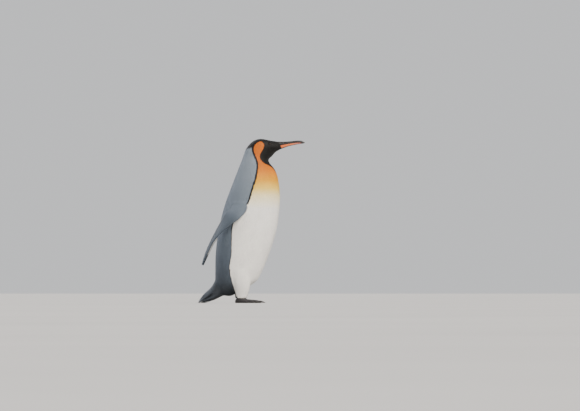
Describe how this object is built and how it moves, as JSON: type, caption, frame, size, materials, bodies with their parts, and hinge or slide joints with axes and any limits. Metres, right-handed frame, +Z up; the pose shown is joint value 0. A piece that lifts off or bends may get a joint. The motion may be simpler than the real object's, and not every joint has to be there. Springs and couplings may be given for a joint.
{
  "type": "king penguin",
  "caption": "Adult king penguin standing at rest, flippers drawn back, as a life-size still model for display or scene dressing.",
  "frame": {"origin": "on the floor, under the middle of the bird's bounding box, in its plane of symmetry", "axes": "+X the way the bird faces, +Y its left side, +Z up; it is symmetric about the XZ plane"},
  "size_m": [0.537, 0.3634, 0.821],
  "materials": {
    "trunk_feathers": "short overlapping feathers, slate blue-grey behind and white in front",
    "neck_feathers": "fine short feathers, silvery behind and dark in front",
    "head_feathers": "very fine black feathers with orange ear patches",
    "flipper_feathers": "tiny stiff scale-like feathers",
    "tail_feathers": "stiff long quills",
    "leg_feathers": "short soft feathers",
    "dark_horn": "dark horn, satin",
    "bright_horn": "orange-pink horny plate, smooth",
    "foot_skin": "dark scaly skin",
    "eye": "dark brown, wet gloss"
  },
  "bodies": {
    "root": {"trunk": "trunk_feathers", "neck": "neck_feathers", "head": "head_feathers", "tail": "tail_feathers", "bill_upper": "dark_horn", "bill_lower": "dark_horn", "bill_plate_right": "bright_horn", "eye_right": "eye", "flipper_right": "flipper_feathers", "leg_right": "leg_feathers", "foot_right": "foot_skin", "claw_inner_right": "dark_horn", "claw_middle_right": "dark_horn", "claw_outer_right": "dark_horn", "claw_hind_right": "dark_horn", "bill_plate_left": "bright_horn", "eye_left": "eye", "flipper_left": "flipper_feathers", "leg_left": "leg_feathers", "foot_left": "foot_skin", "claw_inner_left": "dark_horn", "claw_middle_left": "dark_horn", "claw_outer_left": "dark_horn", "claw_hind_left": "dark_horn"}
  },
  "joints": []
}
